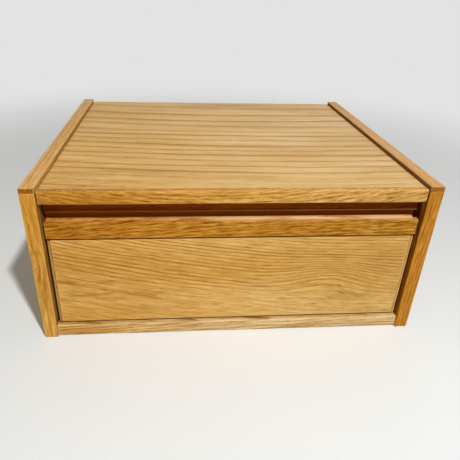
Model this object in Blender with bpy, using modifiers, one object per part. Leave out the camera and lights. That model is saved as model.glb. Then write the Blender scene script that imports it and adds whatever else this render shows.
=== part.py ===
"""Type case: a low oak case with one side-hung drawer that holds loose compartments for type.

The front faces -Y and the underside lies on Z = 0. Left and right are as seen from the front.
"""

import math

import bmesh
import bpy
from mathutils import Matrix, Vector

# Case, outside
CASE_WIDTH = 0.3683
CASE_DEPTH = 0.3175
CASE_HEIGHT = 0.1588
PANEL = 0.0127            # thickness of the sides, the top and the bottom
SIDE_PROUD = 0.0035       # the sides stand this far above the top
BOARD_SETBACK = 0.0018    # top and bottom lie this far behind the sides' front
TOP_REVEAL = 0.0010       # shadow gap at each end of the top

# Solid lippings on the panels' edges
SIDE_TOP_LIPPING = 0.0042
FRONT_LIPPING = 0.0063
FACING_LIPPING = 0.0026

# Rounding of the edges
EDGE = 0.0007
NOSE_EDGE = 0.0016        # front boards
FOOT_EDGE = 0.0026        # worn lower outer edge of each side
EDGE_STEPS = 2

# Joints of the case
GLUE_LINE = 0.0003
TONGUE = 0.0055           # thickness of the tongues on the top and bottom
TONGUE_SHOULDER = 0.0010  # from a tongue to the board's inner face
HOUSING = 0.0050          # depth of the grooves that take the tongues
TONGUE_STOP = 0.0060      # tongues end this far in front of the back panel
BACK_THICKNESS = 0.0050
BACK_REBATE = 0.0075

# Drawer front
FRONT_GAP = 0.0026        # air beside the drawer front
FOOT_GAP = 0.0026         # air under the drawer front
FINGER_GAP = 0.0156       # between the pull rail and the top
PULL_SETBACK = 0.0034     # pull rail behind the sides' front
PULL_HEIGHT = 0.0185
PULL_THICKNESS = 0.0095
PULL_OVERHANG = 0.0013    # pull rail in front of the facing
PULL_LINE = 0.0019        # open line between pull rail and facing
PULL_LEDGE = 0.0020       # shoulder in front of the rail's rounded lip
PULL_ROUND = 0.0025       # rounding of the lip, and its height over the shoulder
PULL_ROUND_STEPS = 5
LIP_LEFT_STEP = 0.0017    # the lip stops this far from the rail's left end
LIP_RIGHT_STEP = 0.0052   # and from its right end
INNER_FRONT_THICKNESS = 0.0127
INNER_FRONT_SIDE_AIR = 0.0010
INNER_FRONT_HEAD_AIR = 0.0028
COVE_RADIUS = 0.0046      # finger groove behind the lip
COVE_DROP = 0.0014        # its centre lies this far under the top of the lip
COVE_FACETS = 32

# Drawer box
BOX_STOCK = 0.0100        # drawer sides and back
BOX_SIDE_AIR = 0.0050     # between a drawer side and the case
BOX_FLOAT = 0.0040        # drawer box above the case's bottom
BOX_SIDE_HEIGHT = 0.0950
BOX_BACK_STEP = 0.0060    # drawer back lower than the drawer sides
BOX_REAR_AIR = 0.0166     # between the drawer sides and the back panel
BOX_BACK_INSET = 0.0080   # drawer side that runs on behind the drawer back
BOX_HOUSING = 0.0030      # depth of the corner housings
BOTTOM_THICKNESS = 0.0040
BOTTOM_GROOVE = 0.0045    # depth of the grooves for the drawer bottom
BOTTOM_RISE = 0.0060      # drawer bottom above the sides' lower edge

# Runners
RUNNER_REACH = 0.0100     # thickness of a runner, into the case
RUNNER_HEIGHT = 0.0120
RUNNER_CENTRE = 0.0640    # height of the runners above the floor
RUNNER_PLAY = 0.0003      # above and below a runner in its groove
RUNNER_END_PLAY = 0.0005  # between a runner and the floor of its groove
RUNNER_REAR_GAP = 0.0080  # runner to back panel

# Type compartments
BAR = 0.0060              # thickness of the two bay bars
BAR_HEIGHT = 0.0400
BAR_OFFSET = 0.0520       # bar centres from the middle of the drawer
SLAT = 0.0032
SLAT_HEIGHT = 0.0360
SLAT_HOUSING = 0.0015     # depth of the grooves in the bars
LEFT_ROWS = 4
MIDDLE_ROWS = 3
RIGHT_ROWS = 6

# Countersunk screws
SCREW_HEAD = 0.0023       # radius of the head
SCREW_SHANK = 0.0013      # radius of the shank
SCREW_CONE = 0.0018       # depth of the head
SCREW_POINT = 0.0020      # length of the point
SCREW_SINK = 0.0002       # head below the surface
SCREW_FACETS = 12
SCREW_SLOT = 0.0007       # width of the slot
SCREW_SLOT_DEPTH = 0.0008
SCREW_BITE = 0.0050       # length in the piece that is held
SCREW_PLAY = 0.0002       # round a screw in its hole
RUNNER_SCREW_INSET = 0.0400
BACK_SCREW_INSET = 0.0250
FACING_SCREWS = 4
FACING_SCREW_INSET = 0.0430  # outer screws from the ends of the facing
FACING_SCREW_DROP = 0.0190   # screws under the pull rail

# Cutters run past the surface that they leave
CUT_PAST = 0.0040

# Places that follow from the sizes
HALF_WIDTH = CASE_WIDTH / 2
FRONT = -CASE_DEPTH / 2
REAR = CASE_DEPTH / 2
SIDE_INNER = HALF_WIDTH - PANEL
SIDE_CORE_TOP = CASE_HEIGHT - SIDE_TOP_LIPPING - GLUE_LINE
BOARD_FRONT = FRONT + BOARD_SETBACK
BOARD_CORE_FRONT = BOARD_FRONT + FRONT_LIPPING + GLUE_LINE
TOP_UPPER = CASE_HEIGHT - SIDE_PROUD
TOP_UNDER = TOP_UPPER - PANEL
TOP_END = SIDE_INNER - TOP_REVEAL
BACK_FACE = REAR - BACK_THICKNESS
BACK_LOW = PANEL - BACK_REBATE
BACK_HIGH = TOP_UNDER + BACK_REBATE
TONGUE_END = SIDE_INNER + HOUSING - GLUE_LINE
TONGUE_FRONT = BOARD_CORE_FRONT + GLUE_LINE
TONGUE_REAR = BACK_FACE - TONGUE_STOP
TOP_TONGUE = (TOP_UNDER + TONGUE_SHOULDER, TOP_UNDER + TONGUE_SHOULDER + TONGUE)
BOTTOM_TONGUE = (PANEL - TONGUE_SHOULDER - TONGUE, PANEL - TONGUE_SHOULDER)

FACE_HALF = SIDE_INNER - FRONT_GAP
FACE_FOOT = PANEL + FOOT_GAP
PULL_TOP = TOP_UNDER - FINGER_GAP
PULL_UNDER = PULL_TOP - PULL_HEIGHT
PULL_SHOULDER = PULL_TOP - PULL_ROUND
PULL_FRONT = FRONT + PULL_SETBACK
PULL_LIP = PULL_FRONT + PULL_LEDGE
FACING_FRONT = PULL_FRONT + PULL_OVERHANG
FACING_BACK = PULL_FRONT + PULL_THICKNESS
INNER_FRONT_FACE = FACING_BACK + GLUE_LINE
INNER_FRONT_BACK = INNER_FRONT_FACE + INNER_FRONT_THICKNESS
INNER_FRONT_HALF = SIDE_INNER - INNER_FRONT_SIDE_AIR
INNER_FRONT_TOP = TOP_UNDER - INNER_FRONT_HEAD_AIR

BOX_OUTER = SIDE_INNER - BOX_SIDE_AIR
BOX_INNER = BOX_OUTER - BOX_STOCK
BOX_FOOT = PANEL + BOX_FLOAT
BOX_SIDE_TOP = BOX_FOOT + BOX_SIDE_HEIGHT
BOX_REAR = BACK_FACE - BOX_REAR_AIR
BOX_BACK_REAR = BOX_REAR - BOX_BACK_INSET
BOX_BACK_FACE = BOX_BACK_REAR - BOX_STOCK
BOTTOM_UNDER = BOX_FOOT + BOTTOM_RISE
BOTTOM_UPPER = BOTTOM_UNDER + BOTTOM_THICKNESS

RUNNER_BASE = SIDE_INNER - GLUE_LINE
RUNNER_TIP = RUNNER_BASE - RUNNER_REACH
RUNNER_FRONT = INNER_FRONT_BACK + GLUE_LINE
RUNNER_REAR = BACK_FACE - RUNNER_REAR_GAP

CELL_FLOOR = BOTTOM_UPPER + GLUE_LINE
CELL_FRONT = INNER_FRONT_BACK + GLUE_LINE
CELL_REAR = BOX_BACK_FACE - GLUE_LINE
BAR_INNER = BAR_OFFSET - BAR / 2
BAR_OUTER = BAR_OFFSET + BAR / 2


def clear_scene():
    for obj in list(bpy.data.objects):
        bpy.data.objects.remove(obj, do_unlink=True)


def collection(name):
    made = bpy.data.collections.new(name)
    bpy.context.scene.collection.children.link(made)
    return made


def material(name, colour, roughness, metallic=0.0):
    made = bpy.data.materials.new(name)
    made.use_nodes = True
    shader = made.node_tree.nodes["Principled BSDF"]
    shader.inputs["Base Color"].default_value = (*colour, 1.0)
    shader.inputs["Roughness"].default_value = roughness
    shader.inputs["Metallic"].default_value = metallic
    made.diffuse_color = (*colour, 1.0)
    return made


def span(a, b):
    """Two ends of a range in rising order."""
    return (min(a, b), max(a, b))


def both_ways(half):
    """A range that lies evenly about the middle of the case."""
    return (-half, half)


def face_name(normal):
    axis = max(range(3), key=lambda i: abs(normal[i]))
    return ("+" if normal[axis] > 0 else "-") + "xyz"[axis]


class Case:
    """The collections, materials and frames that the pieces go into."""

    def __init__(self):
        self.parts = collection("type_case")
        self.cutters = collection("cutters")
        self.veneer = material("oak_veneer", (0.60, 0.39, 0.16), 0.38)
        self.solid = material("oak_solid", (0.52, 0.30, 0.09), 0.38)
        self.stained = material("stained_oak", (0.10, 0.035, 0.006), 0.50)
        self.lining = material("drawer_wood", (0.62, 0.44, 0.24), 0.55)
        self.ply = material("ply", (0.56, 0.40, 0.22), 0.60)
        self.steel = material("steel", (0.45, 0.42, 0.36), 0.35, metallic=1.0)
        self.body = self.frame("case_frame", (0, 0, 0))
        self.drawer = self.frame("drawer_frame", (0, FRONT, RUNNER_CENTRE))

    def frame(self, name, place):
        empty = bpy.data.objects.new(name, None)
        empty.location = place
        self.parts.objects.link(empty)
        return empty

    def place(self, obj, centre, parent, finish):
        self.parts.objects.link(obj)
        obj.parent = parent
        obj.location = Vector(centre) - parent.location
        obj.data.materials.append(finish)
        return obj

    def hide(self, obj):
        self.cutters.objects.link(obj)
        obj.hide_render = True
        obj.display_type = "WIRE"
        return obj


def block_mesh(name, size):
    mesh = bpy.data.meshes.new(name)
    bm = bmesh.new()
    bmesh.ops.create_cube(bm, size=1.0)
    bmesh.ops.scale(bm, vec=size, verts=bm.verts)
    bm.to_mesh(mesh)
    bm.free()
    return mesh


def weigh_edges(mesh, eased, radius, worn, worn_radius):
    """Mark the edges to round: those between two eased faces, and one worn edge."""
    bm = bmesh.new()
    bm.from_mesh(mesh)
    weight = bm.edges.layers.float.new("bevel_weight_edge")
    widest = max(radius, worn_radius)
    for edge in bm.edges:
        pair = {face_name(face.normal) for face in edge.link_faces}
        if worn and pair == set(worn):
            edge[weight] = worn_radius / widest
        elif pair <= set(eased):
            edge[weight] = radius / widest
    bm.to_mesh(mesh)
    bm.free()
    return widest


def board(case, name, x, y, z, finish, parent, eased=(), radius=EDGE, worn=(), worn_radius=0.0):
    """A straight board between the given ranges, with chosen edges rounded over."""
    size = [high - low for low, high in (x, y, z)]
    centre = [(high + low) / 2 for low, high in (x, y, z)]
    mesh = block_mesh(name, size)
    obj = case.place(bpy.data.objects.new(name, mesh), centre, parent, finish)
    if eased:
        bevel = obj.modifiers.new("rounded_edges", "BEVEL")
        bevel.width = weigh_edges(mesh, eased, radius, worn, worn_radius)
        bevel.segments = EDGE_STEPS
        bevel.limit_method = "WEIGHT"
    return obj


def apply_shape(obj, tool, operation):
    modifier = obj.modifiers.new(tool.name, "BOOLEAN")
    modifier.operation = operation
    modifier.solver = "EXACT"
    modifier.object = tool


def box_tool(case, name, x, y, z):
    size = [high - low for low, high in (x, y, z)]
    tool = case.hide(bpy.data.objects.new(name, block_mesh(name, size)))
    tool.location = [(high + low) / 2 for low, high in (x, y, z)]
    return tool


def cut(case, obj, label, x, y, z):
    apply_shape(obj, box_tool(case, f"{obj.name}_{label}", x, y, z), "DIFFERENCE")


def add_tongue(case, obj, label, x, y, z):
    apply_shape(obj, box_tool(case, f"{obj.name}_{label}", x, y, z), "UNION")


def screw_profile(name, length, play=0.0, mouth=0.0):
    """Half section of a countersunk screw, or of its hole with play and an open mouth."""
    head = SCREW_HEAD + play
    shank = SCREW_SHANK + play
    points = [(0.0, mouth), (head, mouth)]
    if mouth:
        points.append((head, 0.0))
    points += [(shank, -SCREW_CONE), (shank, SCREW_POINT - length), (0.0, -length - play)]
    mesh = bpy.data.meshes.new(name)
    bm = bmesh.new()
    verts = [bm.verts.new((radius, 0.0, height)) for radius, height in points]
    for upper, lower in zip(verts, verts[1:]):
        bm.edges.new((upper, lower))
    bm.to_mesh(mesh)
    bm.free()
    return mesh


def turn(obj):
    lathe = obj.modifiers.new("turned", "SCREW")
    lathe.steps = SCREW_FACETS
    lathe.render_steps = SCREW_FACETS
    lathe.use_merge_vertices = True
    lathe.merge_threshold = 0.00001


def screw(case, name, head, outward, length, parent, held):
    """A slotted countersunk screw, with its hole in each piece that it holds."""
    outward = Vector(outward)
    turned_to = Vector((0, 0, 1)).rotation_difference(outward).to_euler()
    seat = Vector(head) - outward * SCREW_SINK
    obj = bpy.data.objects.new(name, screw_profile(name, length))
    case.place(obj, seat, parent, case.steel)
    obj.rotation_euler = turned_to
    turn(obj)
    slot_size = (2 * SCREW_HEAD + CUT_PAST, SCREW_SLOT, 2 * SCREW_SLOT_DEPTH)
    slot = case.hide(bpy.data.objects.new(f"{name}_slot", block_mesh(f"{name}_slot", slot_size)))
    slot.location = seat
    slot.rotation_euler = turned_to
    apply_shape(obj, slot, "DIFFERENCE")
    hole_mesh = screw_profile(f"{name}_hole", length, SCREW_PLAY, CUT_PAST)
    hole = case.hide(bpy.data.objects.new(f"{name}_hole", hole_mesh))
    hole.location = seat
    hole.rotation_euler = turned_to
    turn(hole)
    for piece in held:
        apply_shape(piece, hole, "DIFFERENCE")
    return obj


def side(case, sign, word):
    """One side: a veneered panel with a solid strip along its top and down its front."""
    x = span(sign * SIDE_INNER, sign * HALF_WIDTH)
    outer = "+x" if sign > 0 else "-x"
    inner = "-x" if sign > 0 else "+x"
    foot = {"worn": (outer, "-z"), "worn_radius": FOOT_EDGE}
    panel = board(
        case, f"{word}_side_panel", x, (FRONT + FRONT_LIPPING + GLUE_LINE, REAR), (0.0, SIDE_CORE_TOP),
        case.veneer, case.body, eased=(outer, "-z", "+y"), **foot,
    )
    board(
        case, f"{word}_side_front_lipping", x, (FRONT, FRONT + FRONT_LIPPING), (0.0, SIDE_CORE_TOP),
        case.solid, case.body, eased=(outer, inner, "-y", "-z"), **foot,
    )
    board(
        case, f"{word}_side_top_lipping", x, (FRONT, REAR), (CASE_HEIGHT - SIDE_TOP_LIPPING, CASE_HEIGHT),
        case.solid, case.body, eased=(outer, inner, "-y", "+y", "+z"),
    )
    inward = sign * (SIDE_INNER - CUT_PAST)
    groove_x = span(inward, sign * (SIDE_INNER + HOUSING))
    groove_y = (FRONT, TONGUE_REAR + GLUE_LINE)
    for label, (low, high) in (("top_groove", TOP_TONGUE), ("bottom_groove", BOTTOM_TONGUE)):
        cut(case, panel, label, groove_x, groove_y, (low - GLUE_LINE, high + GLUE_LINE))
    cut(
        case, panel, "back_rebate", span(inward, sign * (SIDE_INNER + BACK_REBATE)),
        (BACK_FACE - GLUE_LINE, REAR + CUT_PAST), (BACK_LOW, BACK_HIGH),
    )
    return panel


def tongued_board(case, name, half, z, tongue, eased):
    """A case board with a tongue along each end and a rebate for the back panel."""
    panel = board(
        case, f"{name}_panel", both_ways(half), (BOARD_CORE_FRONT, REAR), z,
        case.veneer, case.body, eased=eased,
    )
    for sign, word in ((-1, "left"), (1, "right")):
        add_tongue(
            case, panel, f"{word}_tongue", span(sign * (half - CUT_PAST), sign * TONGUE_END),
            (TONGUE_FRONT, TONGUE_REAR), tongue,
        )
    board(
        case, f"{name}_front_lipping", both_ways(half), (BOARD_FRONT, BOARD_FRONT + FRONT_LIPPING), z,
        case.solid, case.body, eased=("-y", "+z", "-z"), radius=NOSE_EDGE,
    )
    return panel


def top(case):
    panel = tongued_board(
        case, "top", TOP_END, (TOP_UNDER, TOP_UPPER), TOP_TONGUE, eased=("-x", "+x", "+z", "+y"),
    )
    cut(
        case, panel, "back_rebate", both_ways(HALF_WIDTH),
        (BACK_FACE - GLUE_LINE, REAR + CUT_PAST), (TOP_UNDER - CUT_PAST, BACK_HIGH),
    )


def bottom(case):
    panel = tongued_board(
        case, "bottom", SIDE_INNER - GLUE_LINE, (0.0, PANEL), BOTTOM_TONGUE, eased=("-z", "+y"),
    )
    cut(
        case, panel, "back_rebate", both_ways(HALF_WIDTH),
        (BACK_FACE - GLUE_LINE, REAR + CUT_PAST), (BACK_LOW, PANEL + CUT_PAST),
    )


def back(case, sides):
    """The back panel, screwed into the rebates of the sides."""
    panel = board(
        case, "back_panel", both_ways(SIDE_INNER + BACK_REBATE - GLUE_LINE), (BACK_FACE, REAR),
        (BACK_LOW + GLUE_LINE, BACK_HIGH - GLUE_LINE), case.ply, case.body,
    )
    heights = (BACK_LOW + BACK_SCREW_INSET, (BACK_LOW + BACK_HIGH) / 2, BACK_HIGH - BACK_SCREW_INSET)
    for sign, word in ((-1, "left"), (1, "right")):
        for number, height in enumerate(heights, start=1):
            screw(
                case, f"back_screw_{word}_{number}",
                (sign * (SIDE_INNER + BACK_REBATE / 2), REAR, height), (0, 1, 0),
                BACK_THICKNESS + SCREW_BITE, case.body, (panel, sides[sign]),
            )


def runner(case, sign, word, side_panel):
    """A hardwood strip on the case's side that carries the drawer."""
    strip = board(
        case, f"{word}_runner", span(sign * RUNNER_TIP, sign * RUNNER_BASE), (RUNNER_FRONT, RUNNER_REAR),
        (RUNNER_CENTRE - RUNNER_HEIGHT / 2, RUNNER_CENTRE + RUNNER_HEIGHT / 2), case.lining, case.body,
    )
    places = (RUNNER_FRONT + RUNNER_SCREW_INSET, RUNNER_REAR - RUNNER_SCREW_INSET)
    for number, place in enumerate(places, start=1):
        screw(
            case, f"runner_screw_{word}_{number}", (sign * RUNNER_TIP, place, RUNNER_CENTRE), (-sign, 0, 0),
            RUNNER_REACH + SCREW_BITE, case.body, (strip, side_panel),
        )


def prism_mesh(name, outline, half):
    """One outline in Y and Z, run from side to side."""
    mesh = bpy.data.meshes.new(name)
    bm = bmesh.new()
    left, right = [[bm.verts.new((x, y, z)) for y, z in outline] for x in both_ways(half)]
    bm.faces.new(left)
    bm.faces.new(right)
    for here in range(len(outline)):
        before = here - 1
        bm.faces.new((left[before], left[here], right[here], right[before]))
    bmesh.ops.recalc_face_normals(bm, faces=bm.faces)
    bm.to_mesh(mesh)
    bm.free()
    return mesh


def pull_outline():
    """Section of the pull rail from its foot: a shoulder in front and a rounded lip behind it."""
    points = [
        (FACING_BACK, PULL_UNDER), (PULL_FRONT + EDGE, PULL_UNDER), (PULL_FRONT, PULL_UNDER + EDGE),
        (PULL_FRONT, PULL_SHOULDER - EDGE), (PULL_FRONT + EDGE, PULL_SHOULDER),
    ]
    for step in range(PULL_ROUND_STEPS + 1):
        angle = step / PULL_ROUND_STEPS * math.pi / 2
        forward = PULL_ROUND * (1 - math.cos(angle))
        points.append((PULL_LIP + forward, PULL_SHOULDER + PULL_ROUND * math.sin(angle)))
    return points + [(FACING_BACK, PULL_TOP)]


def pull_rail(case):
    """A solid rail whose lip stops short of both ends, so that it clears the case."""
    middle = Vector((0.0, (PULL_FRONT + FACING_BACK) / 2, (PULL_UNDER + PULL_TOP) / 2))
    outline = [(y - middle.y, z - middle.z) for y, z in pull_outline()]
    mesh = prism_mesh("pull_rail", outline, FACE_HALF)
    rail = case.place(bpy.data.objects.new("pull_rail", mesh), middle, case.drawer, case.solid)
    for sign, word, step in ((-1, "left", LIP_LEFT_STEP), (1, "right", LIP_RIGHT_STEP)):
        cut(
            case, rail, f"{word}_step",
            span(sign * (FACE_HALF - step), sign * (FACE_HALF + CUT_PAST)),
            (PULL_FRONT - CUT_PAST, FACING_BACK + CUT_PAST), (PULL_SHOULDER, PULL_TOP + CUT_PAST),
        )
    return rail


def drawer_front(case):
    """Pull rail and lipped facing on an inner front, with a finger groove behind the rail's lip."""
    rail = pull_rail(case)
    facing_y = (FACING_FRONT, FACING_BACK)
    facing_z = (FACE_FOOT, PULL_UNDER - PULL_LINE)
    facing = board(
        case, "drawer_facing", both_ways(FACE_HALF - FACING_LIPPING - GLUE_LINE), facing_y, facing_z,
        case.veneer, case.drawer, eased=("-y", "-z"),
    )
    for sign, word, outer in ((-1, "left", "-x"), (1, "right", "+x")):
        board(
            case, f"drawer_facing_{word}_lipping",
            span(sign * (FACE_HALF - FACING_LIPPING), sign * FACE_HALF), facing_y, facing_z,
            case.solid, case.drawer, eased=(outer, "-y", "-z"),
        )
    inner_front = board(
        case, "inner_front", both_ways(INNER_FRONT_HALF), (INNER_FRONT_FACE, INNER_FRONT_BACK),
        (FACE_FOOT, INNER_FRONT_TOP), case.stained, case.drawer, eased=("-x", "+x", "-y", "+y", "+z"),
    )
    finger_groove(case, (rail, inner_front))
    for sign, word in ((-1, "left"), (1, "right")):
        cut(
            case, inner_front, f"{word}_housing",
            span(sign * (BOX_INNER - GLUE_LINE), sign * (BOX_OUTER + GLUE_LINE)),
            (INNER_FRONT_BACK - BOX_HOUSING, INNER_FRONT_BACK + CUT_PAST),
            (FACE_FOOT - CUT_PAST, BOX_SIDE_TOP + GLUE_LINE),
        )
    cut(
        case, inner_front, "bottom_groove", both_ways(BOX_INNER + BOTTOM_GROOVE),
        (INNER_FRONT_BACK - BOTTOM_GROOVE, INNER_FRONT_BACK + CUT_PAST),
        (BOTTOM_UNDER - GLUE_LINE, BOTTOM_UPPER + GLUE_LINE),
    )
    outermost = FACE_HALF - FACING_SCREW_INSET
    for number in range(FACING_SCREWS):
        across = outermost * (2 * number / (FACING_SCREWS - 1) - 1)
        screw(
            case, f"facing_screw_{number + 1}", (across, INNER_FRONT_BACK, PULL_UNDER - FACING_SCREW_DROP),
            (0, 1, 0), INNER_FRONT_THICKNESS + SCREW_BITE, case.drawer, (inner_front, facing),
        )


def finger_groove(case, pieces):
    """A round groove run along the joint of the pull rail and the inner front."""
    mesh = bpy.data.meshes.new("finger_groove")
    bm = bmesh.new()
    bmesh.ops.create_cone(
        bm, cap_ends=True, segments=COVE_FACETS, radius1=COVE_RADIUS, radius2=COVE_RADIUS,
        depth=2 * (INNER_FRONT_HALF + CUT_PAST), matrix=Matrix.Rotation(math.pi / 2, 4, "Y"),
    )
    bm.to_mesh(mesh)
    bm.free()
    tool = case.hide(bpy.data.objects.new("finger_groove", mesh))
    tool.location = (0.0, INNER_FRONT_FACE, PULL_TOP - COVE_DROP)
    for piece in pieces:
        apply_shape(piece, tool, "DIFFERENCE")


def drawer_side(case, sign, word):
    """A drawer side with the runner groove outside and the bottom's groove inside."""
    outer = "+x" if sign > 0 else "-x"
    inner = "-x" if sign > 0 else "+x"
    front = INNER_FRONT_BACK - BOX_HOUSING + GLUE_LINE
    panel = board(
        case, f"drawer_{word}_side", span(sign * BOX_INNER, sign * BOX_OUTER), (front, BOX_REAR),
        (BOX_FOOT, BOX_SIDE_TOP), case.lining, case.drawer, eased=(outer, inner, "+z", "+y"),
    )
    along = (front - CUT_PAST, BOX_REAR + CUT_PAST)
    half_groove = RUNNER_HEIGHT / 2 + RUNNER_PLAY
    cut(
        case, panel, "runner_groove",
        span(sign * (RUNNER_TIP - RUNNER_END_PLAY), sign * (BOX_OUTER + CUT_PAST)),
        along, (RUNNER_CENTRE - half_groove, RUNNER_CENTRE + half_groove),
    )
    inward = sign * (BOX_INNER - CUT_PAST)
    cut(
        case, panel, "bottom_groove", span(inward, sign * (BOX_INNER + BOTTOM_GROOVE)), along,
        (BOTTOM_UNDER - GLUE_LINE, BOTTOM_UPPER + GLUE_LINE),
    )
    cut(
        case, panel, "back_housing", span(inward, sign * (BOX_INNER + BOX_HOUSING)),
        (BOX_BACK_FACE - GLUE_LINE, BOX_BACK_REAR + GLUE_LINE), (BOTTOM_UPPER, BOX_SIDE_TOP + CUT_PAST),
    )


def drawer_box(case):
    for sign, word in ((-1, "left"), (1, "right")):
        drawer_side(case, sign, word)
    board(
        case, "drawer_back", both_ways(BOX_INNER + BOX_HOUSING - GLUE_LINE), (BOX_BACK_FACE, BOX_BACK_REAR),
        (BOTTOM_UPPER + GLUE_LINE, BOX_SIDE_TOP - BOX_BACK_STEP), case.lining, case.drawer,
        eased=("-y", "+y", "+z"),
    )
    board(
        case, "drawer_bottom", both_ways(BOX_INNER + BOTTOM_GROOVE - GLUE_LINE),
        (INNER_FRONT_BACK - BOTTOM_GROOVE + GLUE_LINE, BOX_REAR), (BOTTOM_UNDER, BOTTOM_UPPER),
        case.ply, case.drawer,
    )


def row_places(rows):
    """Where the slats between the rows of a bay lie, front to back."""
    depth = CELL_REAR - CELL_FRONT
    return [CELL_FRONT + depth * row / rows for row in range(1, rows)]


def slat_groove(place):
    reach = SLAT / 2 + GLUE_LINE
    return (place - reach, place + reach)


def bay_bar(case, sign, word, outer_rows):
    """A bar between two bays, grooved on both faces for the slats that end in it."""
    bar = board(
        case, f"{word}_bay_bar", span(sign * BAR_INNER, sign * BAR_OUTER), (CELL_FRONT, CELL_REAR),
        (CELL_FLOOR, CELL_FLOOR + BAR_HEIGHT), case.lining, case.drawer, eased=("-x", "+x", "+z"),
    )
    height = (CELL_FLOOR - CUT_PAST, CELL_FLOOR + BAR_HEIGHT + CUT_PAST)
    faces = (
        ("outer", outer_rows, span(sign * (BAR_OUTER - SLAT_HOUSING), sign * (BAR_OUTER + CUT_PAST))),
        ("inner", MIDDLE_ROWS, span(sign * (BAR_INNER - CUT_PAST), sign * (BAR_INNER + SLAT_HOUSING))),
    )
    for label, rows, across in faces:
        for number, place in enumerate(row_places(rows), start=1):
            cut(case, bar, f"{label}_groove_{number}", across, slat_groove(place), height)


def slatted_bay(case, sign, word, rows):
    """Slats across an outer bay, halved over one slat that runs from front to back."""
    inner = sign * (BAR_OUTER - SLAT_HOUSING + GLUE_LINE)
    outer = sign * (BOX_INNER - GLUE_LINE)
    middle = sign * (BAR_OUTER + BOX_INNER) / 2
    height = (CELL_FLOOR, CELL_FLOOR + SLAT_HEIGHT)
    half_way = CELL_FLOOR + SLAT_HEIGHT / 2
    long_slat = board(
        case, f"{word}_long_slat", (middle - SLAT / 2, middle + SLAT / 2), (CELL_FRONT, CELL_REAR),
        height, case.lining, case.drawer,
    )
    for number, place in enumerate(row_places(rows), start=1):
        cross = board(
            case, f"{word}_cross_slat_{number}", span(inner, outer), (place - SLAT / 2, place + SLAT / 2),
            height, case.lining, case.drawer,
        )
        cut(
            case, cross, "lap", slat_groove(middle), (place - SLAT, place + SLAT),
            (CELL_FLOOR - CUT_PAST, half_way + GLUE_LINE / 2),
        )
        cut(
            case, long_slat, f"lap_{number}", (middle - SLAT, middle + SLAT), slat_groove(place),
            (half_way - GLUE_LINE / 2, CELL_FLOOR + SLAT_HEIGHT + CUT_PAST),
        )


def middle_bay(case):
    half = BAR_INNER + SLAT_HOUSING - GLUE_LINE
    for number, place in enumerate(row_places(MIDDLE_ROWS), start=1):
        board(
            case, f"middle_cross_slat_{number}", both_ways(half), (place - SLAT / 2, place + SLAT / 2),
            (CELL_FLOOR, CELL_FLOOR + SLAT_HEIGHT), case.lining, case.drawer,
        )


def compartments(case):
    for sign, word, rows in ((-1, "left", LEFT_ROWS), (1, "right", RIGHT_ROWS)):
        bay_bar(case, sign, word, rows)
        slatted_bay(case, sign, word, rows)
    middle_bay(case)


def build():
    clear_scene()
    case = Case()
    sides = {-1: side(case, -1, "left"), 1: side(case, 1, "right")}
    top(case)
    bottom(case)
    back(case, sides)
    for sign, word in ((-1, "left"), (1, "right")):
        runner(case, sign, word, sides[sign])
    drawer_front(case)
    drawer_box(case)
    compartments(case)


build()
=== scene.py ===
"""Looks of the oak type case: lacquered oak boards, pale drawer linings, floor, light and camera."""

import math
from dataclasses import dataclass, replace

import bpy
from mathutils import Euler, Matrix, Vector


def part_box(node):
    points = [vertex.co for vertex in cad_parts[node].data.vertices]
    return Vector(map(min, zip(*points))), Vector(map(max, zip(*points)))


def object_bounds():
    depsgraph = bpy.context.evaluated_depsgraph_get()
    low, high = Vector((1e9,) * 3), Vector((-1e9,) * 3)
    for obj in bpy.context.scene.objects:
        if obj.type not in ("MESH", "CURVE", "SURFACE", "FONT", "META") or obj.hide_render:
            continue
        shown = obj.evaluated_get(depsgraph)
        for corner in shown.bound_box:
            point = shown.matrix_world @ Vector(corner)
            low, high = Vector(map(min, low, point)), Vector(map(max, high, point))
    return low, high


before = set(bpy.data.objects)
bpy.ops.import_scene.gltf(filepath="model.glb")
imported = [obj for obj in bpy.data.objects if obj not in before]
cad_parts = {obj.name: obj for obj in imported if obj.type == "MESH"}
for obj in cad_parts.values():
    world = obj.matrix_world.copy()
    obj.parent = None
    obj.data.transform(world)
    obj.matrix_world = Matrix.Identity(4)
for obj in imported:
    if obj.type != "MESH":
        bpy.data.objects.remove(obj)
cad_low, cad_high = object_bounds()


def linear(red, green, blue):
    """A screen colour from 0 to 255 as the linear colour that a shader takes."""
    def channel(value):
        value /= 255
        return value / 12.92 if value <= 0.04045 else ((value + 0.055) / 1.055) ** 2.4
    return (channel(red), channel(green), channel(blue), 1.0)


@dataclass(frozen=True)
class Lamp:
    """A round lamp that looks at the case, in metres and watts."""
    name: str
    place: tuple
    size: float
    power: float
    colour: tuple = (1.0, 1.0, 1.0)


@dataclass(frozen=True)
class Pattern:
    """A noise: how fast it changes along, across and into a board, per metre, and how it is drawn."""
    scale: tuple
    seed: float               # added to the board's own seed
    detail: float = 2.0
    roughness: float = 0.5


@dataclass(frozen=True)
class Tone:
    """Colours of one board: its light and warm wood, its dark growth rings and its pores."""
    light: tuple
    warm: tuple
    ring: tuple
    pore: tuple
    rings: float = 0.9        # strength of the growth rings
    pores: float = 0.6        # and of the pores
    crackle: float = 0.20     # light and dark of the fine fibre
    roughness: float = 0.42
    gloss: float = 0.3
    coat: float = 0.04        # weight of the lacquer's shine


@dataclass(frozen=True)
class Patch:
    """A soft darker place on a board: where it lies along and across, and how far it reaches."""
    place: tuple
    size: tuple
    strength: float


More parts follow.
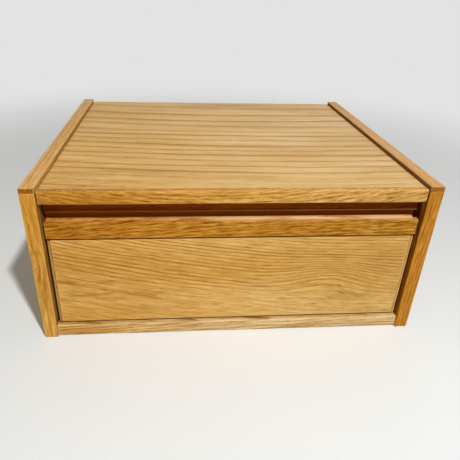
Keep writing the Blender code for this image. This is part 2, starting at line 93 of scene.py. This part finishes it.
@dataclass(frozen=True)
class Figure:
    """How the growth rings cross a board, in metres: the axes run along, across and into it."""
    axes: str
    spacing: float
    bow: float = 0.0          # curve of the rings along the board, per metre
    crown: float = 0.0        # place along the board where the curve is level
    pith: float = -1.0        # height of the tree's middle
    pith_depth: float = 0.0   # distance of the tree's middle behind the face
    wander: float = 0.004
    early: float = 0.45       # share of a ring that the dark early wood fades over
    hump: float = 0.0         # height of a swirl in the rings
    hump_at: tuple = (0.0, 0.0)
    hump_size: tuple = (0.055, 0.022)
    patches: tuple = ()
    plain: tuple = ()         # stretches across over which the rings change: from, to and both strengths
    inside: float = 0.0       # way along X that the face inside the case looks, and how far painted shade darkens it
    fibre: tuple = (50.0, 560.0)   # how fast the fine fibre changes along and across the board, per metre


# Camera, fitted to the case's edges in the photograph
IMAGE = 460                                    # side of the picture in pixels
FOCAL = 457.74                                 # focal length in pixels
CENTRE = (216.87, 224.40)                      # pixel that the lens looks straight at
SENSOR = 36.0                                  # sensor width in millimetres
CAMERA_TURN = (118.2374, -4.8445, -0.6374)     # in degrees
CAMERA_PLACE = (-0.14387, -0.96549, 0.85427)   # in case widths, from the middle of the front foot
CLIP_START = 0.01

# Light and floor
LAMPS = (
    Lamp("key", (0.327, -1.014, 1.27), size=0.085, power=22.3),
    Lamp("fill", (-0.8, -1.2, 0.9), size=1.0, power=2.6, colour=(1.0, 0.9, 0.72)),
    Lamp("sheen", (0.5, 1.3, 1.0), size=0.8, power=1.5),
)
LAMP_TARGET = (0.0, 0.0, 0.08)
AROUND_COLOUR = (1.0, 0.93, 0.8, 1.0)
AROUND_STRENGTH = 0.18
SEEN_RAYS = ("Camera", "Glossy", "Transmission")
GROUND = linear(226, 227, 226)
FLOOR_LIGHT = linear(232, 236, 238)
FLOOR_DARK = linear(227, 231, 232)
FLOOR_CLOUDS = Pattern((3.0, 3.0, 3.0), 5.0, detail=3.0)
FLOOR_ROUGHNESS = 0.6
FLOOR_SIZE = 60.0
FLOOR_DROP = 0.0002
GROUND_REACH = (0.35, 1.1)                     # distances over which the floor runs out into the ground

# Noises on the boards
SEED_STEP = 1.37                                              # from one board's seed to the next
NOISE_MIDDLE = 0.5
DRIFT = Pattern((5.0, 22.0, 22.0), 0.0)                       # slow wander of the rings
WOBBLE = Pattern((30.0, 70.0, 70.0), 29.0)                    # quick wander of the rings
UNEVEN = Pattern((2.0, 30.0, 30.0), 3.0, detail=1.0)          # wide and narrow rings
BROAD = Pattern((4.0, 20.0, 20.0), 11.0)                      # light and warm wood
BROKEN = Pattern((60.0, 300.0, 300.0), 23.0, detail=3.0)      # breaks in the darker places
FIBRE = Pattern((50.0, 560.0, 560.0), 5.0, detail=3.0, roughness=0.6)
DASHES = Pattern((110.0, 800.0, 800.0), 7.0, roughness=0.6)   # pores
SPECKLE = Pattern((700.0, 700.0, 700.0), 13.0)                # end grain
WEAR_AND_HIGHLIGHT_BREAKS = Pattern((25.0, 60.0, 60.0), 17.0, detail=4.0)       # wear and painted highlight along the edges
SMEARS = Pattern((9.0, 16.0, 16.0), 19.0, detail=4.0)         # duller and brighter lacquer
LIP_PATCHES = Pattern((28.0, 260.0, 260.0), 37.0, detail=3.0)

# Spans over which something comes in: from, to and, where they aren't 0 and 1, both strengths
RING_SPAN = (0.0, 1.0, 0.35, 1.0)
WARM_SPAN = (0.34, 0.66)
BROKEN_SPAN = (0.36, 0.64, 0.35, 1.0)
FIBRE_SPAN = (0.32, 0.68)
PORE_SPAN = (0.55, 0.65)
SPECKLE_SPAN = (0.35, 0.65)
END_SPAN = (0.6, 0.9)
INSIDE_SPAN = (0.6, 0.9, 0.0, 0.96)
TINT_SPAN = (-0.19, 0.18)
EDGE_WEAR_AND_HIGHLIGHT = (0.0, 0.0016, 1.0, 0.0)          # distances from a board's edge, in metres
WEAR_AND_HIGHLIGHT_SPAN = (0.38, 0.60, 0.25, 0.85)
SATIN_SPAN = (0.3, 0.7)

# Shares and strengths that all boards have in common
DRIFT_SHARE = 2.0                              # slow wander of the rings, against the figure's own
WOBBLE_SHARE = 0.3                             # and quick wander
UNEVEN_RINGS = 0.9                             # how far rings stray from even spacing, in rings
RING_ONSET = 0.10                              # share of a ring over which its dark early wood starts
DARK_FIBRE = (0.76, 1.08, 1.75)                # how far dark fibre takes off red, green and blue
LIGHT_FIBRE = (0.48, 0.74, 1.8)                # and light fibre adds to them
LATE_PORES = 0.3                               # pores outside the early wood
ENDS_SPARED = 0.8                              # how far end grain escapes the edge wear and painted highlight
SATIN_BELOW = 0.05                             # how far roughness strays from the board's own
SATIN_ABOVE = 0.06
PORE_ROUGHNESS = 0.15
INSIDE_ROUGHNESS = 0.3
RING_RELIEF = 0.25                             # depth of the rings, against the pores
BUMP_DEPTH = 0.00012
BUMP_STRENGTH = 0.5
COAT_ROUGHNESS = 0.22

# Painted shade, painted light and highlights, end grain and tints along the boards
# painted shade: the dark red-brown that the faces inside the case are darkened to
INSIDE_PAINTED_SHADE = linear(88, 35, 0)
END_SHADE = (0.66, 0.54, 0.18, 1.0)
LEFT_TINT = (1.02, 0.97, 0.77, 1.0)         # warmer tint at the left end of a board
RIGHT_TINT = (0.98, 1.03, 1.15, 1.0)         # and paler, bluer tint at its right end
# painted highlight: the pale top of the pull rail's lip
LIP_PAINTED_HIGHLIGHT = linear(200, 159, 112)
LIP_HIGHLIGHT_HEIGHTS = (-0.0029, -0.0018)                  # heights from the lip's top over which its painted highlight comes in
LIP_PATCH_SPAN = (0.32, 0.56, 0.2, 1.0)
LIP_HIGHLIGHT_ALONG = (-0.10, 0.03, 0.15, 1.0)
# painted light: the lighter orange in the finger groove, where bounce light falls
GROOVE_PAINTED_LIGHT = linear(208, 124, 14)
GROOVE_PAINTED_LIGHT_SHARE = 0.85
# painted shade: darker low in the groove, by the lip
GROOVE_PAINTED_SHADE = linear(116, 50, 4)
GROOVE_PAINTED_SHADE_HEIGHTS = (-0.0038, -0.0008)       # heights from the lip's top over which the painted shade fades out
GROOVE_EDGE = 0.0032                           # upper edge of the finger groove over the lip's top
GROOVE_REACH = (0.0048, 0.00624)               # depths behind the inner front's face where its painted light and shade end
# painted highlight along the groove's upper edge, stronger towards the right
GROOVE_PAINTED_HIGHLIGHT = linear(226, 168, 100)
GROOVE_EDGE_BAND = 0.0011
GROOVE_HIGHLIGHT_ALONG = (-0.17, 0.17, 0.45, 1.0)

# Screws
STEEL_BRIGHT = linear(176, 168, 150)
STEEL_DULL = linear(128, 118, 98)
STEEL_SPOTS = Pattern((700.0, 700.0, 700.0), 2.0, detail=3.0)
STEEL_SPAN = (0.4, 0.7)
STEEL_ROUGHNESS = (0.3, 0.7, 0.28, 0.5)

# Tones of the boards
TOP_TONE = Tone(
    linear(222, 184, 121), linear(210, 167, 96), linear(164, 111, 22), linear(140, 89, 12),
    rings=0.95, pores=0.45, crackle=0.15, gloss=0.12,
)
PANEL_TONE = Tone(
    linear(209, 167, 96), linear(198, 151, 72), linear(147, 92, 3), linear(119, 69, 0),
    rings=1.0, pores=0.65, gloss=0.14,
)
SIDE_TONE = replace(PANEL_TONE, rings=0.6, gloss=0.06, coat=0.0)
NOSE_TONE = Tone(
    linear(205, 158, 82), linear(186, 129, 40), linear(141, 84, 0), linear(106, 59, 0),
    rings=0.5, pores=1.0, crackle=0.38, gloss=0.08,
)
PULL_TONE = Tone(
    linear(181, 126, 37), linear(171, 113, 24), linear(125, 69, 0), linear(90, 45, 0),
    rings=0.6, pores=1.0, crackle=0.54, gloss=0.05,
)
LEFT_TONE = Tone(
    linear(212, 162, 76), linear(198, 142, 50), linear(155, 97, 10), linear(119, 68, 0),
    rings=0.5, pores=0.75, crackle=0.30, gloss=0.08, coat=0.0,
)
RIGHT_TONE = Tone(
    linear(192, 131, 40), linear(175, 112, 20), linear(125, 69, 0), linear(92, 46, 0),
    pores=0.85, crackle=0.34, gloss=0.08, coat=0.0,
)
STRIP_TONE = Tone(
    linear(221, 174, 102), linear(207, 156, 80), linear(178, 126, 56), linear(146, 97, 36),
    rings=0.8, pores=0.5, gloss=0.12, coat=0.0,
)
RIGHT_STRIP_TONE = replace(STRIP_TONE, light=linear(211, 164, 99), warm=linear(197, 147, 77))
FOOT_TONE = Tone(
    linear(215, 190, 142), linear(205, 167, 99), linear(153, 98, 19), linear(108, 65, 4),
    pores=0.9, crackle=0.38, gloss=0.14,
)
STILE_TONE = Tone(
    linear(203, 157, 98), linear(189, 139, 76), linear(156, 106, 43), linear(122, 76, 17),
    pores=0.7, gloss=0.12,
)
LEFT_STILE_TONE = Tone(
    linear(176, 130, 70), linear(160, 112, 46), linear(132, 86, 24), linear(104, 62, 8),
    pores=0.7, gloss=0.12,
)
# painted shade: the inner front's dark red-brown stands for the shade in the recess behind the lip
INNER_PAINTED_SHADE_TONE = Tone(
    linear(141, 68, 0), linear(122, 55, 0), linear(87, 34, 0), linear(65, 22, 0),
    crackle=0.30, roughness=0.6, gloss=0.04, coat=0.0,
)
LINING_TONE = Tone(
    linear(222, 192, 146), linear(210, 176, 126), linear(190, 152, 102), linear(170, 130, 84),
    rings=0.5, pores=0.3, crackle=0.10, roughness=0.5,
)
PLY_TONE = Tone(
    linear(206, 170, 122), linear(192, 153, 104), linear(170, 130, 82), linear(150, 110, 66),
    rings=0.6, pores=0.35, crackle=0.12, roughness=0.56,
)

# Figures of the boards
TOP_FIGURE = Figure(
    "xyz", spacing=0.0112, bow=0.28, crown=0.08, pith=0.185, pith_depth=0.09, wander=0.005, early=0.36,
    plain=((-0.130, -0.112, 0.25, 1.0), (0.02, 0.14, 1.0, 0.6)), fibre=(14.0, 190.0),
    patches=(
        Patch((0.02, 0.143), (0.07, 0.010), 0.6),
        Patch((-0.15, -0.14), (0.13, 0.05), 0.32),
        # painted shade: a broad darker place over the top's left side, where it is lit less
        Patch((-0.20, 0.02), (0.16, 0.30), 0.24),
    ),
)
PANEL_FIGURE = Figure(
    "xzy", spacing=0.0036, bow=0.40, crown=0.17, pith=0.008, pith_depth=0.176, early=0.4,
    plain=((0.026, 0.080, 0.18, 1.0),), hump=0.013, hump_at=(0.095, 0.060), hump_size=(0.042, 0.020),
    patches=(
        Patch((-0.115, 0.0463), (0.060, 0.0044), 0.50),
        Patch((-0.135, 0.0617), (0.055, 0.0038), 0.42),
        Patch((-0.085, 0.029), (0.050, 0.005), 0.30),
        Patch((0.118, 0.0376), (0.030, 0.008), 0.4),
        Patch((0.140, 0.080), (0.040, 0.020), 0.35),
        Patch((-0.175, 0.075), (0.09, 0.06), 0.34),
    ),
)
LEFT_FIGURE = Figure(
    "yzx", spacing=0.011, bow=0.3, crown=-0.05, pith=0.05, pith_depth=0.05, wander=0.007, inside=0.8,
)
RIGHT_FIGURE = replace(LEFT_FIGURE, crown=0.07, pith=0.09, inside=-1.0)
RAIL_FIGURE = Figure(
    "xzy", spacing=0.0034, bow=-0.10, crown=0.35, fibre=(85.0, 960.0),
    patches=(Patch((-0.19, 0.115), (0.10, 0.1), 0.35),),
)
FOOT_FIGURE = replace(
    RAIL_FIGURE, bow=-0.06, fibre=(30.0, 560.0), patches=(Patch((-0.18, 0.006), (0.13, 0.1), 0.36),),
)
NOSE_FIGURE = Figure(
    "xzy", spacing=0.0026, bow=0.8, crown=-0.02, pith=0.05, pith_depth=0.25, wander=0.003,
    fibre=(85.0, 820.0),
    patches=(
        Patch((-0.19, 0.149), (0.12, 0.1), 0.45),
        Patch((0.17, 0.149), (0.06, 0.1), 0.25),
    ),
)
LEFT_POST = Figure(
    "zxy", spacing=0.0042, wander=0.003, inside=0.75,
    hump=0.004, hump_at=(0.083, -0.178), hump_size=(0.016, 0.005),
    patches=(
        Patch((0.112, -0.181), (0.006, 0.002), 0.7),
        Patch((0.096, -0.179), (0.003, 0.006), 0.7),
        Patch((0.064, -0.178), (0.010, 0.004), 0.7),
        Patch((0.045, -0.178), (0.008, 0.004), 0.6),
        Patch((0.072, -0.178), (0.024, 0.007), 0.35),
    ),
)
RIGHT_POST = Figure(
    "zxy", spacing=0.0024, bow=0.25, crown=-0.02, pith=0.4, wander=0.002, inside=-0.75,
    patches=(Patch((0.16, 0.178), (0.06, 0.05), 0.4),),
)
STILE_FIGURE = Figure("zxy", spacing=0.0032, wander=0.003)
LEFT_STRIP = Figure("yxz", spacing=0.0042, bow=0.03, wander=0.003, inside=0.66)
RIGHT_STRIP = replace(LEFT_STRIP, inside=-0.78)
LINING_FIGURE = Figure("yzx", spacing=0.009, bow=0.1, wander=0.005)
CROSS_FIGURE = replace(LINING_FIGURE, axes="xzy")
BACK_FIGURE = Figure("xzy", spacing=0.013, bow=1.1, crown=0.04, wander=0.012, early=0.6)
FLOOR_FIGURE = Figure("xyz", spacing=0.016, bow=0.4, crown=-0.04, wander=0.010)

# Boards with a look of their own, in the order of their seeds
FINISHES = (
    ("top_panel", TOP_FIGURE, TOP_TONE),
    ("top_front_lipping", NOSE_FIGURE, NOSE_TONE),
    ("bottom_panel", FLOOR_FIGURE, PANEL_TONE),
    ("bottom_front_lipping", FOOT_FIGURE, FOOT_TONE),
    ("left_side_panel", LEFT_FIGURE, SIDE_TONE),
    ("right_side_panel", RIGHT_FIGURE, SIDE_TONE),
    ("left_side_front_lipping", LEFT_POST, LEFT_TONE),
    ("right_side_front_lipping", RIGHT_POST, RIGHT_TONE),
    ("left_side_top_lipping", LEFT_STRIP, STRIP_TONE),
    ("right_side_top_lipping", RIGHT_STRIP, RIGHT_STRIP_TONE),
    ("back_panel", BACK_FIGURE, PLY_TONE),
    ("pull_rail", RAIL_FIGURE, PULL_TONE),
    ("drawer_facing", PANEL_FIGURE, PANEL_TONE),
    ("drawer_facing_left_lipping", STILE_FIGURE, LEFT_STILE_TONE),
    ("drawer_facing_right_lipping", STILE_FIGURE, STILE_TONE),
    ("inner_front", CROSS_FIGURE, INNER_PAINTED_SHADE_TONE),
    ("drawer_back", CROSS_FIGURE, LINING_TONE),
    ("drawer_bottom", FLOOR_FIGURE, PLY_TONE),
)


class Nodes:
    """A node tree, built by short calls that return sockets."""

    def __init__(self, tree):
        self.tree = tree

    def new(self, kind):
        return self.tree.nodes.new(f"ShaderNode{kind}")

    def plug(self, socket, value):
        """Link a socket to another one, or set it to a plain value."""
        if isinstance(value, bpy.types.NodeSocket):
            self.tree.links.new(value, socket)
        else:
            socket.default_value = value

    def plug_all(self, node, values):
        for socket, value in zip(node.inputs, values):
            self.plug(socket, value)
        return node.outputs[0]

    def math(self, operation, *values):
        node = self.new("Math")
        node.operation = operation
        return self.plug_all(node, values)

    def add(self, a, b):
        return self.math("ADD", a, b)

    def subtract(self, a, b):
        return self.math("SUBTRACT", a, b)

    def times(self, a, b):
        return self.math("MULTIPLY", a, b)

    def squares(self, a, b):
        return self.add(self.times(a, a), self.times(b, b))

    def seen_ray(self):
        """1 where the camera, a mirror or a glass looks, and 0 where light falls."""
        path = self.new("LightPath")
        camera, glossy, transmission = (path.outputs[f"Is {kind} Ray"] for kind in SEEN_RAYS)
        return self.math("MAXIMUM", self.math("MAXIMUM", camera, glossy), transmission)

    def show(self, output, factor, first, second):
        """Mix two shaders into the tree's output."""
        mixed = self.plug_all(self.new("MixShader"), (factor, first.outputs[0], second.outputs[0]))
        self.plug(self.tree.nodes[output].inputs["Surface"], mixed)


class Surface(Nodes):
    """A material, with the place of each of its points in metres."""

    def __init__(self, name):
        self.material = bpy.data.materials.new(name)
        self.material.use_nodes = True
        super().__init__(self.material.node_tree)
        self.shader = self.tree.nodes["Principled BSDF"]
        self.place = self.axes("Object")

    def axes(self, output):
        node = self.new("TexCoord")
        split = self.new("SeparateXYZ")
        self.plug(split.inputs[0], node.outputs[output])
        return dict(zip("xyz", split.outputs))

    def noise(self, spot, pattern, seed=0.0):
        """A pattern at a spot, from 0 to 1."""
        node = self.new("TexNoise")
        node.noise_dimensions = "4D"
        place = [self.times(value, scale) for value, scale in zip(spot, pattern.scale)]
        self.plug(node.inputs["Vector"], self.plug_all(self.new("CombineXYZ"), place))
        node.inputs["W"].default_value = seed + pattern.seed
        node.inputs["Scale"].default_value = 1.0
        node.inputs["Detail"].default_value = pattern.detail
        node.inputs["Roughness"].default_value = pattern.roughness
        return node.outputs[0]

    def ease(self, value, low, high, start=0.0, end=1.0):
        """Go smoothly from start to end while a value goes from low to high."""
        node = self.new("MapRange")
        node.interpolation_type = "SMOOTHSTEP"
        self.plug(node.inputs["Value"], value)
        for label, number in (("From Min", low), ("From Max", high), ("To Min", start), ("To Max", end)):
            self.plug(node.inputs[label], number)
        return node.outputs["Result"]

    def mix(self, factor, first, second, blend="MIX"):
        """Mix two colours: the node has sockets of the same names for other kinds of value."""
        node = self.new("Mix")
        node.data_type = "RGBA"
        node.blend_type = blend
        colours = [socket for socket in node.inputs if socket.type == "RGBA"]
        self.plug(node.inputs["Factor"], factor)
        self.plug(colours[0], first)
        self.plug(colours[1], second)
        return next(socket for socket in node.outputs if socket.type == "RGBA")

    def tint(self, colour, tint):
        return self.mix(1.0, colour, tint, "MULTIPLY")

    def finish(self, colour, roughness):
        self.plug(self.shader.inputs["Base Color"], colour)
        self.plug(self.shader.inputs["Roughness"], roughness)
        return self.material


class Board(Surface):
    """Lacquered oak: growth rings, fibre, pores in the early wood, end grain, painted shade on the faces
    inside the case and edges lightened by wear and by a painted highlight.
    """

    def __init__(self, name, figure, tone, seed, box):
        super().__init__(name)
        self.figure = figure
        self.tone = tone
        self.seed = seed
        self.box = box
        self.facing = self.axes("Normal")
        self.along, self.across, self.depth = (self.place[axis] for axis in figure.axes)
        self.lie = self.ring_height()
        self.dark, self.early = self.growth_rings()
        self.pores = self.early_pores()
        self.end = self.ease(self.math("ABSOLUTE", self.facing[figure.axes[0]]), *END_SPAN)
        if figure.inside:
            self.inside = self.ease(self.times(self.facing["x"], figure.inside), *INSIDE_SPAN)

    def grain(self, pattern):
        return self.noise((self.along, self.across, self.depth), pattern, self.seed)

    def lying_grain(self, pattern):
        """A pattern that follows the bend of the rings."""
        return self.noise((self.along, self.lie, self.depth), pattern, self.seed)

    def bell(self, place, size):
        """1 at a place on the board, and less over a size along and across it."""
        a = self.math("DIVIDE", self.subtract(self.along, place[0]), size[0])
        b = self.math("DIVIDE", self.subtract(self.across, place[1]), size[1])
        return self.math("EXPONENT", self.times(self.squares(a, b), -1.0))

    def ring_height(self):
        """Place across the board, bent as the rings are."""
        figure = self.figure
        from_crown = self.subtract(self.along, figure.crown)
        height = self.subtract(self.across, self.times(self.times(from_crown, from_crown), figure.bow))
        if figure.hump:
            swirl = self.bell(figure.hump_at, figure.hump_size)
            height = self.subtract(height, self.times(swirl, figure.hump))
        return height

    def wander(self):
        """How far the rings stray from their curve."""
        slow = self.subtract(self.grain(DRIFT), NOISE_MIDDLE)
        quick = self.subtract(self.grain(WOBBLE), NOISE_MIDDLE)
        slow = self.times(slow, DRIFT_SHARE * self.figure.wander)
        quick = self.times(quick, WOBBLE_SHARE * self.figure.wander)
        return self.add(slow, quick)

    def growth_rings(self):
        """Dark early wood from 0 to 1, with each ring's own strength and without it."""
        figure = self.figure
        height = self.subtract(self.add(self.lie, self.wander()), figure.pith)
        radius = self.math("SQRT", self.squares(height, self.add(self.depth, figure.pith_depth)))
        uneven = self.times(self.grain(UNEVEN), UNEVEN_RINGS)
        phase = self.add(self.math("DIVIDE", radius, figure.spacing), uneven)
        part = self.math("FRACT", phase)
        fade = self.ease(part, 0.0, figure.early, 1.0, 0.0)
        early = self.math("MAXIMUM", fade, self.ease(part, 1.0 - RING_ONSET, 1.0))
        strength = self.ease(self.random(self.math("FLOOR", phase)), *RING_SPAN)
        for stretch in figure.plain:
            strength = self.times(strength, self.ease(self.across, *stretch))
        return self.times(early, strength), early

    def random(self, value):
        """One number from 0 to 1 for each whole value."""
        node = self.new("TexWhiteNoise")
        node.noise_dimensions = "1D"
        self.plug(node.inputs["W"], self.add(value, self.seed))
        return node.outputs[0]

    def early_pores(self):
        held = self.add(self.times(self.early, 1.0 - LATE_PORES), LATE_PORES)
        return self.times(self.ease(self.lying_grain(DASHES), *PORE_SPAN), held)

    def wood(self):
        """Light and warm wood with dark rings and darker places."""
        tone = self.tone
        colour = self.mix(self.ease(self.grain(BROAD), *WARM_SPAN), tone.light, tone.warm)
        colour = self.mix(self.times(self.dark, tone.rings), colour, tone.ring)
        if self.figure.patches:
            patch = self.times(self.patches(), self.ease(self.grain(BROKEN), *BROKEN_SPAN))
            colour = self.mix(patch, colour, tone.ring)
        return colour

    def patches(self):
        total = 0.0
        for patch in self.figure.patches:
            total = self.add(self.times(self.bell(patch.place, patch.size), patch.strength), total)
        return total

    def fibred(self, colour):
        rate_along, rate_across = self.figure.fibre
        pattern = replace(FIBRE, scale=(rate_along, rate_across, rate_across))
        darker = [1.0 - self.tone.crackle * share for share in DARK_FIBRE]
        lighter = [1.0 + self.tone.crackle * share for share in LIGHT_FIBRE]
        fibre = self.ease(self.lying_grain(pattern), *FIBRE_SPAN)
        return self.tint(colour, self.mix(fibre, (*darker, 1.0), (*lighter, 1.0)))

    def pored(self, colour):
        return self.mix(self.times(self.pores, self.tone.pores), colour, self.tone.pore)

    def ended(self, colour):
        """Dark speckled end grain on the faces across the board's length."""
        speckle = self.ease(self.grain(SPECKLE), *SPECKLE_SPAN)
        end_colour = self.mix(speckle, self.tone.ring, self.tone.pore)
        return self.mix(self.end, colour, self.tint(end_colour, END_SHADE))

    def shaded_and_tinted(self, colour):
        """Painted shade on the faces inside the case, and a tint that is warmer towards a board's left
        end and paler towards its right end.
        """
        if self.figure.inside:
            # painted shade on the faces inside the case
            colour = self.mix(self.inside, colour, INSIDE_PAINTED_SHADE)
        if self.figure.axes[0] == "x":
            # warmer towards the left end of the board, paler and bluer towards its right end
            along_tint = self.mix(self.ease(self.along, *TINT_SPAN), LEFT_TINT, RIGHT_TINT)
            colour = self.tint(colour, along_tint)
        return colour

    def worn_and_lit_edges(self, colour):
        """Edges lightened partly by wear and partly by a painted highlight."""
        edge_light = self.ease(self.edge_distance(), *EDGE_WEAR_AND_HIGHLIGHT)
        edge_light = self.times(edge_light, self.ease(self.grain(WEAR_AND_HIGHLIGHT_BREAKS), *WEAR_AND_HIGHLIGHT_SPAN))
        edge_light = self.times(edge_light, self.subtract(1.0, self.times(self.end, ENDS_SPARED)))
        return self.mix(edge_light, colour, self.tone.light)

    def edge_distance(self):
        """How far a point on the board's face lies from the nearest edge of the board."""
        low, high = self.box
        gaps = []
        for index, axis in enumerate("xyz"):
            below = self.subtract(self.place[axis], low[index])
            above = self.subtract(high[index], self.place[axis])
            gaps.append(self.math("MINIMUM", below, above))
        a, b, c = gaps
        nearer = self.math("MINIMUM", a, b)
        further = self.math("MAXIMUM", a, b)
        return self.math("MAXIMUM", nearer, self.math("MINIMUM", further, c))

    def paint(self):
        """The board's colour, from the wood up to the wear on it."""
        colour = self.wood()
        for layer in (self.fibred, self.pored, self.ended, self.shaded_and_tinted, self.worn_and_lit_edges):
            colour = layer(colour)
        return colour

    def satin(self):
        """Roughness of the lacquer, smeared here and there and duller over pores and over the painted
        shade inside the case.
        """
        middle = self.tone.roughness
        smears = self.ease(self.grain(SMEARS), *SATIN_SPAN, middle - SATIN_BELOW, middle + SATIN_ABOVE)
        roughness = self.add(smears, self.times(self.pores, PORE_ROUGHNESS))
        if self.figure.inside:
            roughness = self.add(roughness, self.times(self.inside, INSIDE_ROUGHNESS))
        return roughness

    def sink(self):
        """Bump that lets the rings and pores lie below the face."""
        node = self.new("Bump")
        node.inputs["Strength"].default_value = BUMP_STRENGTH
        node.inputs["Distance"].default_value = BUMP_DEPTH
        relief = self.add(self.times(self.dark, RING_RELIEF), self.pores)
        self.plug(node.inputs["Height"], self.times(relief, -1.0))
        self.plug(self.shader.inputs["Normal"], node.outputs[0])

    def lacquer(self, colour):
        self.sink()
        self.shader.inputs["Specular IOR Level"].default_value = self.tone.gloss
        self.shader.inputs["Coat Weight"].default_value = self.tone.coat
        self.shader.inputs["Coat Roughness"].default_value = COAT_ROUGHNESS
        return self.finish(colour, self.satin())


def lip_top():
    """Height of the top of the pull rail's lip."""
    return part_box("pull_rail")[1].z


def lip_painted_highlight(board, colour):
    """A painted highlight on the top of the pull rail's lip, strongest on the right."""
    heights = [lip_top() + height for height in LIP_HIGHLIGHT_HEIGHTS]
    patchy = board.noise(board.place.values(), LIP_PATCHES, board.seed)
    highlight = board.times(board.ease(board.place["z"], *heights), board.ease(patchy, *LIP_PATCH_SPAN))
    highlight = board.times(highlight, board.ease(board.place["x"], *LIP_HIGHLIGHT_ALONG))
    return board.mix(highlight, colour, LIP_PAINTED_HIGHLIGHT)


def groove_painted_light(board, colour):
    """The finger groove in the inner front: painted light in the groove, painted shade low down by the
    lip and a painted highlight along its upper edge.
    """
    low, _ = board.box
    height = board.place["z"]
    edge = lip_top() + GROOVE_EDGE
    near, far = (low.y + depth for depth in GROOVE_REACH)
    in_front = board.ease(board.place["y"], near, far, 1.0, 0.0)
    groove_light = board.ease(height, edge - GROOVE_EDGE_BAND, edge, GROOVE_PAINTED_LIGHT_SHARE, 0.0)
    groove_shade = board.ease(height, *(lip_top() + level for level in GROOVE_PAINTED_SHADE_HEIGHTS), 1.0, 0.0)
    off_edge = board.math("ABSOLUTE", board.subtract(height, edge))
    edge_highlight = board.ease(off_edge, 0.0, GROOVE_EDGE_BAND, 1.0, 0.0)
    edge_highlight = board.times(edge_highlight, board.ease(board.place["x"], *GROOVE_HIGHLIGHT_ALONG))
    for share, painted_mark in ((groove_light, GROOVE_PAINTED_LIGHT), (groove_shade, GROOVE_PAINTED_SHADE), (edge_highlight, GROOVE_PAINTED_HIGHLIGHT)):
        colour = board.mix(board.times(share, in_front), colour, painted_mark)
    return colour


PAINTED_LIGHT_MARKS = {"inner_front": groove_painted_light, "pull_rail": lip_painted_highlight}


def oak(name, node, figure, tone, number):
    board = Board(name, figure, tone, SEED_STEP * number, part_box(node))
    colour = board.paint()
    if node in PAINTED_LIGHT_MARKS:
        colour = PAINTED_LIGHT_MARKS[node](board, colour)
    return board.lacquer(colour)


def lining(node, number):
    """Pale drawer wood, with its grain along the longer side of the piece."""
    low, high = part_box(node)
    figure = CROSS_FIGURE if high.x - low.x > high.y - low.y else LINING_FIGURE
    return oak(f"lining_{node}", node, figure, LINING_TONE, number)


def steel():
    """Plated screw steel with dulled spots."""
    surface = Surface("plated_steel")
    spots = surface.noise(surface.place.values(), STEEL_SPOTS)
    surface.shader.inputs["Metallic"].default_value = 1.0
    colour = surface.mix(surface.ease(spots, *STEEL_SPAN), STEEL_BRIGHT, STEEL_DULL)
    return surface.finish(colour, surface.ease(spots, *STEEL_ROUGHNESS))


def dress(node, material):
    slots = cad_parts[node].data.materials
    slots.clear()
    slots.append(material)


def dress_boards():
    for number, (node, figure, tone) in enumerate(FINISHES, start=1):
        dress(node, oak(f"oak_{node}", node, figure, tone, number))


def dress_others():
    """The screws, and the drawer's linings and slats."""
    dressed = {node for node, _, _ in FINISHES}
    metal = steel()
    others = [node for node in sorted(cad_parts) if node not in dressed]
    for number, node in enumerate(others, start=len(FINISHES) + 1):
        dress(node, metal if "screw" in node else lining(node, number))


def floor():
    """A pale floor that takes the shadow, and runs out into an even pale ground."""
    bpy.ops.mesh.primitive_plane_add(size=FLOOR_SIZE, location=(0.0, 0.0, -FLOOR_DROP))
    plane = bpy.context.object
    plane.name = "floor"
    surface = Surface("pale_floor")
    clouds = surface.noise(surface.place.values(), FLOOR_CLOUDS)
    surface.finish(surface.mix(clouds, FLOOR_LIGHT, FLOOR_DARK), FLOOR_ROUGHNESS)
    ground = surface.new("Emission")
    ground.inputs["Color"].default_value = GROUND
    away = surface.math("SQRT", surface.squares(surface.place["x"], surface.place["y"]))
    share = surface.times(surface.seen_ray(), surface.ease(away, *GROUND_REACH))
    surface.show("Material Output", share, surface.shader, ground)
    plane.data.materials.append(surface.material)


def hang(lamp):
    data = bpy.data.lights.new(lamp.name, "AREA")
    data.shape = "DISK"
    data.size = lamp.size
    data.energy = lamp.power
    data.color = lamp.colour
    obj = bpy.data.objects.new(lamp.name, data)
    obj.location = lamp.place
    obj.rotation_euler = (Vector(LAMP_TARGET) - Vector(lamp.place)).to_track_quat("-Z", "Y").to_euler()
    bpy.context.scene.collection.objects.link(obj)


def studio():
    """Even light from all round, which looks like the pale ground."""
    world = bpy.data.worlds.new("studio")
    world.use_nodes = True
    nodes = Nodes(world.node_tree)
    around = world.node_tree.nodes["Background"]
    around.inputs["Color"].default_value = AROUND_COLOUR
    around.inputs["Strength"].default_value = AROUND_STRENGTH
    ground = nodes.new("Background")
    ground.inputs["Color"].default_value = GROUND
    nodes.show("World Output", nodes.seen_ray(), around, ground)
    bpy.context.scene.world = world


def camera():
    data = bpy.data.cameras.new("camera")
    data.sensor_width = SENSOR
    data.lens = FOCAL / IMAGE * SENSOR
    data.shift_x = (IMAGE / 2 - CENTRE[0]) / IMAGE
    data.shift_y = (CENTRE[1] - IMAGE / 2) / IMAGE
    data.clip_start = CLIP_START
    obj = bpy.data.objects.new("camera", data)
    to_view = Euler([math.radians(angle) for angle in CAMERA_TURN], "XYZ").to_matrix()
    flip = Matrix.Diagonal((1.0, -1.0, -1.0))
    width = cad_high.x - cad_low.x
    place = Vector((0.0, cad_low.y, 0.0)) + Vector(CAMERA_PLACE) * width
    obj.matrix_world = Matrix.Translation(place) @ (flip @ to_view).transposed().to_4x4()
    bpy.context.scene.collection.objects.link(obj)
    bpy.context.scene.camera = obj


dress_boards()
dress_others()
floor()
for lamp in LAMPS:
    hang(lamp)
studio()
camera()
bpy.context.scene.view_settings.view_transform = "Standard"
